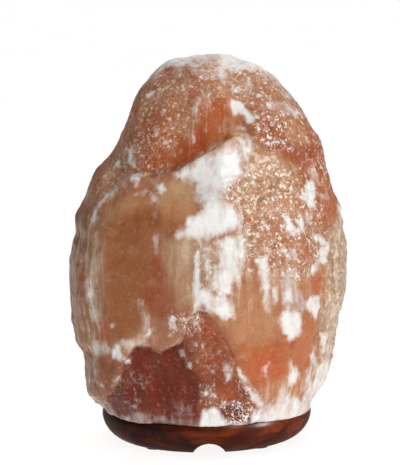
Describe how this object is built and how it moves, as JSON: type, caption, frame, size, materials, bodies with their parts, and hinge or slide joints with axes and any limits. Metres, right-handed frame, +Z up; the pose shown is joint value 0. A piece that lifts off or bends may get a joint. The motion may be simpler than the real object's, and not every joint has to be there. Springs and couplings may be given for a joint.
{
  "type": "salt crystal lamp",
  "caption": "Table lamp made of one hewn block of pink-orange rock salt on a round varnished wooden base, lit from inside by a small bulb in a push-in lampholder.",
  "frame": {"origin": "on the table under the axis of the wooden base", "axes": "+Z up along the axis of the base, -Y towards the viewer and the cord groove, +X to the viewer's right"},
  "size_m": [0.1721, 0.1543, 0.2386],
  "materials": {
    "salt": "translucent rough crystal with white crust",
    "wood": "satin dark varnish",
    "steel": "zinc plated",
    "spring_steel": "bright rolled strip",
    "plug": "moulded, plain",
    "felt": "pressed felt",
    "brass": "plain",
    "bronze": "stamped strip",
    "holder": "moulded, white",
    "porcelain": "unglazed",
    "solder": "dull",
    "nickel": "satin",
    "black_glass": "glossy",
    "bulb_glass": "clear",
    "stem_glass": "clear",
    "wire": "drawn"
  },
  "bodies": {
    "lamp": {"salt_crystal": "salt", "wooden_base": "wood", "base_screws": "steel", "wall_plugs": "plug", "felt_pads": "felt"},
    "holder": {"cord_nipple": "brass", "nipple_locknut": "brass", "spring_clip": "spring_steel", "star_washer": "steel", "holder_cap": "holder", "contact_block": "porcelain", "holder_sleeve": "holder", "screw_shell": "brass", "centre_contact": "bronze", "shell_terminal": "bronze", "terminal_screws": "brass"},
    "bulb_tip": {"bulb_tip": "solder"},
    "bulb": {"bulb_cap": "nickel", "cap_insulator": "black_glass", "bulb_glass": "bulb_glass", "glass_stem": "stem_glass", "lead_wires": "wire", "filament": "wire"}
  },
  "joints": [
    {"name": "holder_pull", "type": "slide", "parent": "lamp", "child": "holder", "axis": [0, 0, -1], "range_m": [0, 0.1]},
    {"name": "bulb_lift", "type": "slide", "parent": "holder", "child": "bulb_tip", "axis": [0, 0, 1], "range_m": [0, 0.012]},
    {"name": "bulb_turn", "type": "hinge", "parent": "bulb_tip", "child": "bulb", "pos_m": [0, 0, 0.05], "axis": [0, 0, 1], "range_deg": [0, 1530]}
  ],
  "couplings": [
    {"joint": "bulb_lift", "follows": "bulb_turn", "m_per_rad": 0.00044913}
  ]
}
